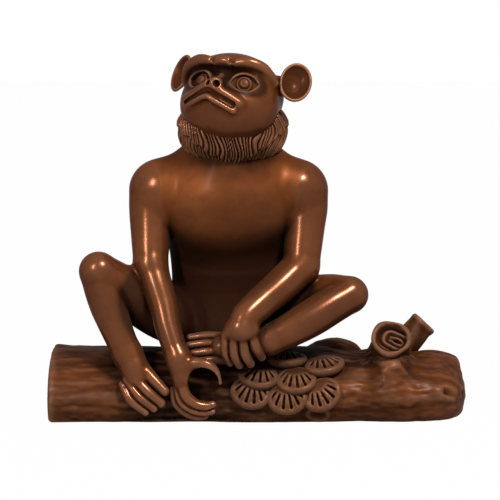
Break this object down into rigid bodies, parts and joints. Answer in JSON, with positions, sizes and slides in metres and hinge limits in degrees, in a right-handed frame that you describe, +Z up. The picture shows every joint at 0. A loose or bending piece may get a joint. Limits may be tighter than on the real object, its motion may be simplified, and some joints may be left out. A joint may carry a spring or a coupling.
{
  "type": "monkey figurine",
  "caption": "Cast bronze ornament of a monkey sitting on a lying pine log, one knee raised and one leg folded, with a felt-padded flat base.",
  "frame": {"origin": "centre of the felt pad's underside, on the table", "axes": "+Z up, +X along the log towards the sawn branch stub, -Y towards the front of the figure"},
  "size_m": [0.208, 0.0755, 0.1807],
  "materials": {
    "monkey_bronze": "glossy brown patina",
    "log_bronze": "satin brown patina",
    "steel": "plain",
    "plate_brass": "brushed",
    "felt": "napped"
  },
  "bodies": {
    "root": {"torso": "monkey_bronze", "head": "monkey_bronze", "neck_ruff": "monkey_bronze", "right_arm": "monkey_bronze", "left_arm": "monkey_bronze", "right_leg": "monkey_bronze", "left_leg": "monkey_bronze", "right_ear": "monkey_bronze", "left_ear": "monkey_bronze", "right_eye": "monkey_bronze", "left_eye": "monkey_bronze", "log_shell": "log_bronze", "knot_stub": "log_bronze", "twig_stub": "log_bronze", "pine_fan_1": "log_bronze", "pine_fan_2": "log_bronze", "pine_fan_3": "log_bronze", "pine_fan_4": "log_bronze", "pine_fan_5": "log_bronze", "pine_fan_6": "log_bronze", "pine_fan_7": "log_bronze", "neck_dowel": "steel", "right_shoulder_dowel": "steel", "left_shoulder_dowel": "steel", "right_hip_dowel": "steel", "left_hip_dowel": "steel", "knot_dowel": "steel", "twig_dowel": "steel", "seat_studs": "steel", "seat_washers": "steel", "seat_nuts": "steel", "base_screws": "steel", "base_plate": "plate_brass", "felt_pad": "felt"}
  },
  "joints": []
}
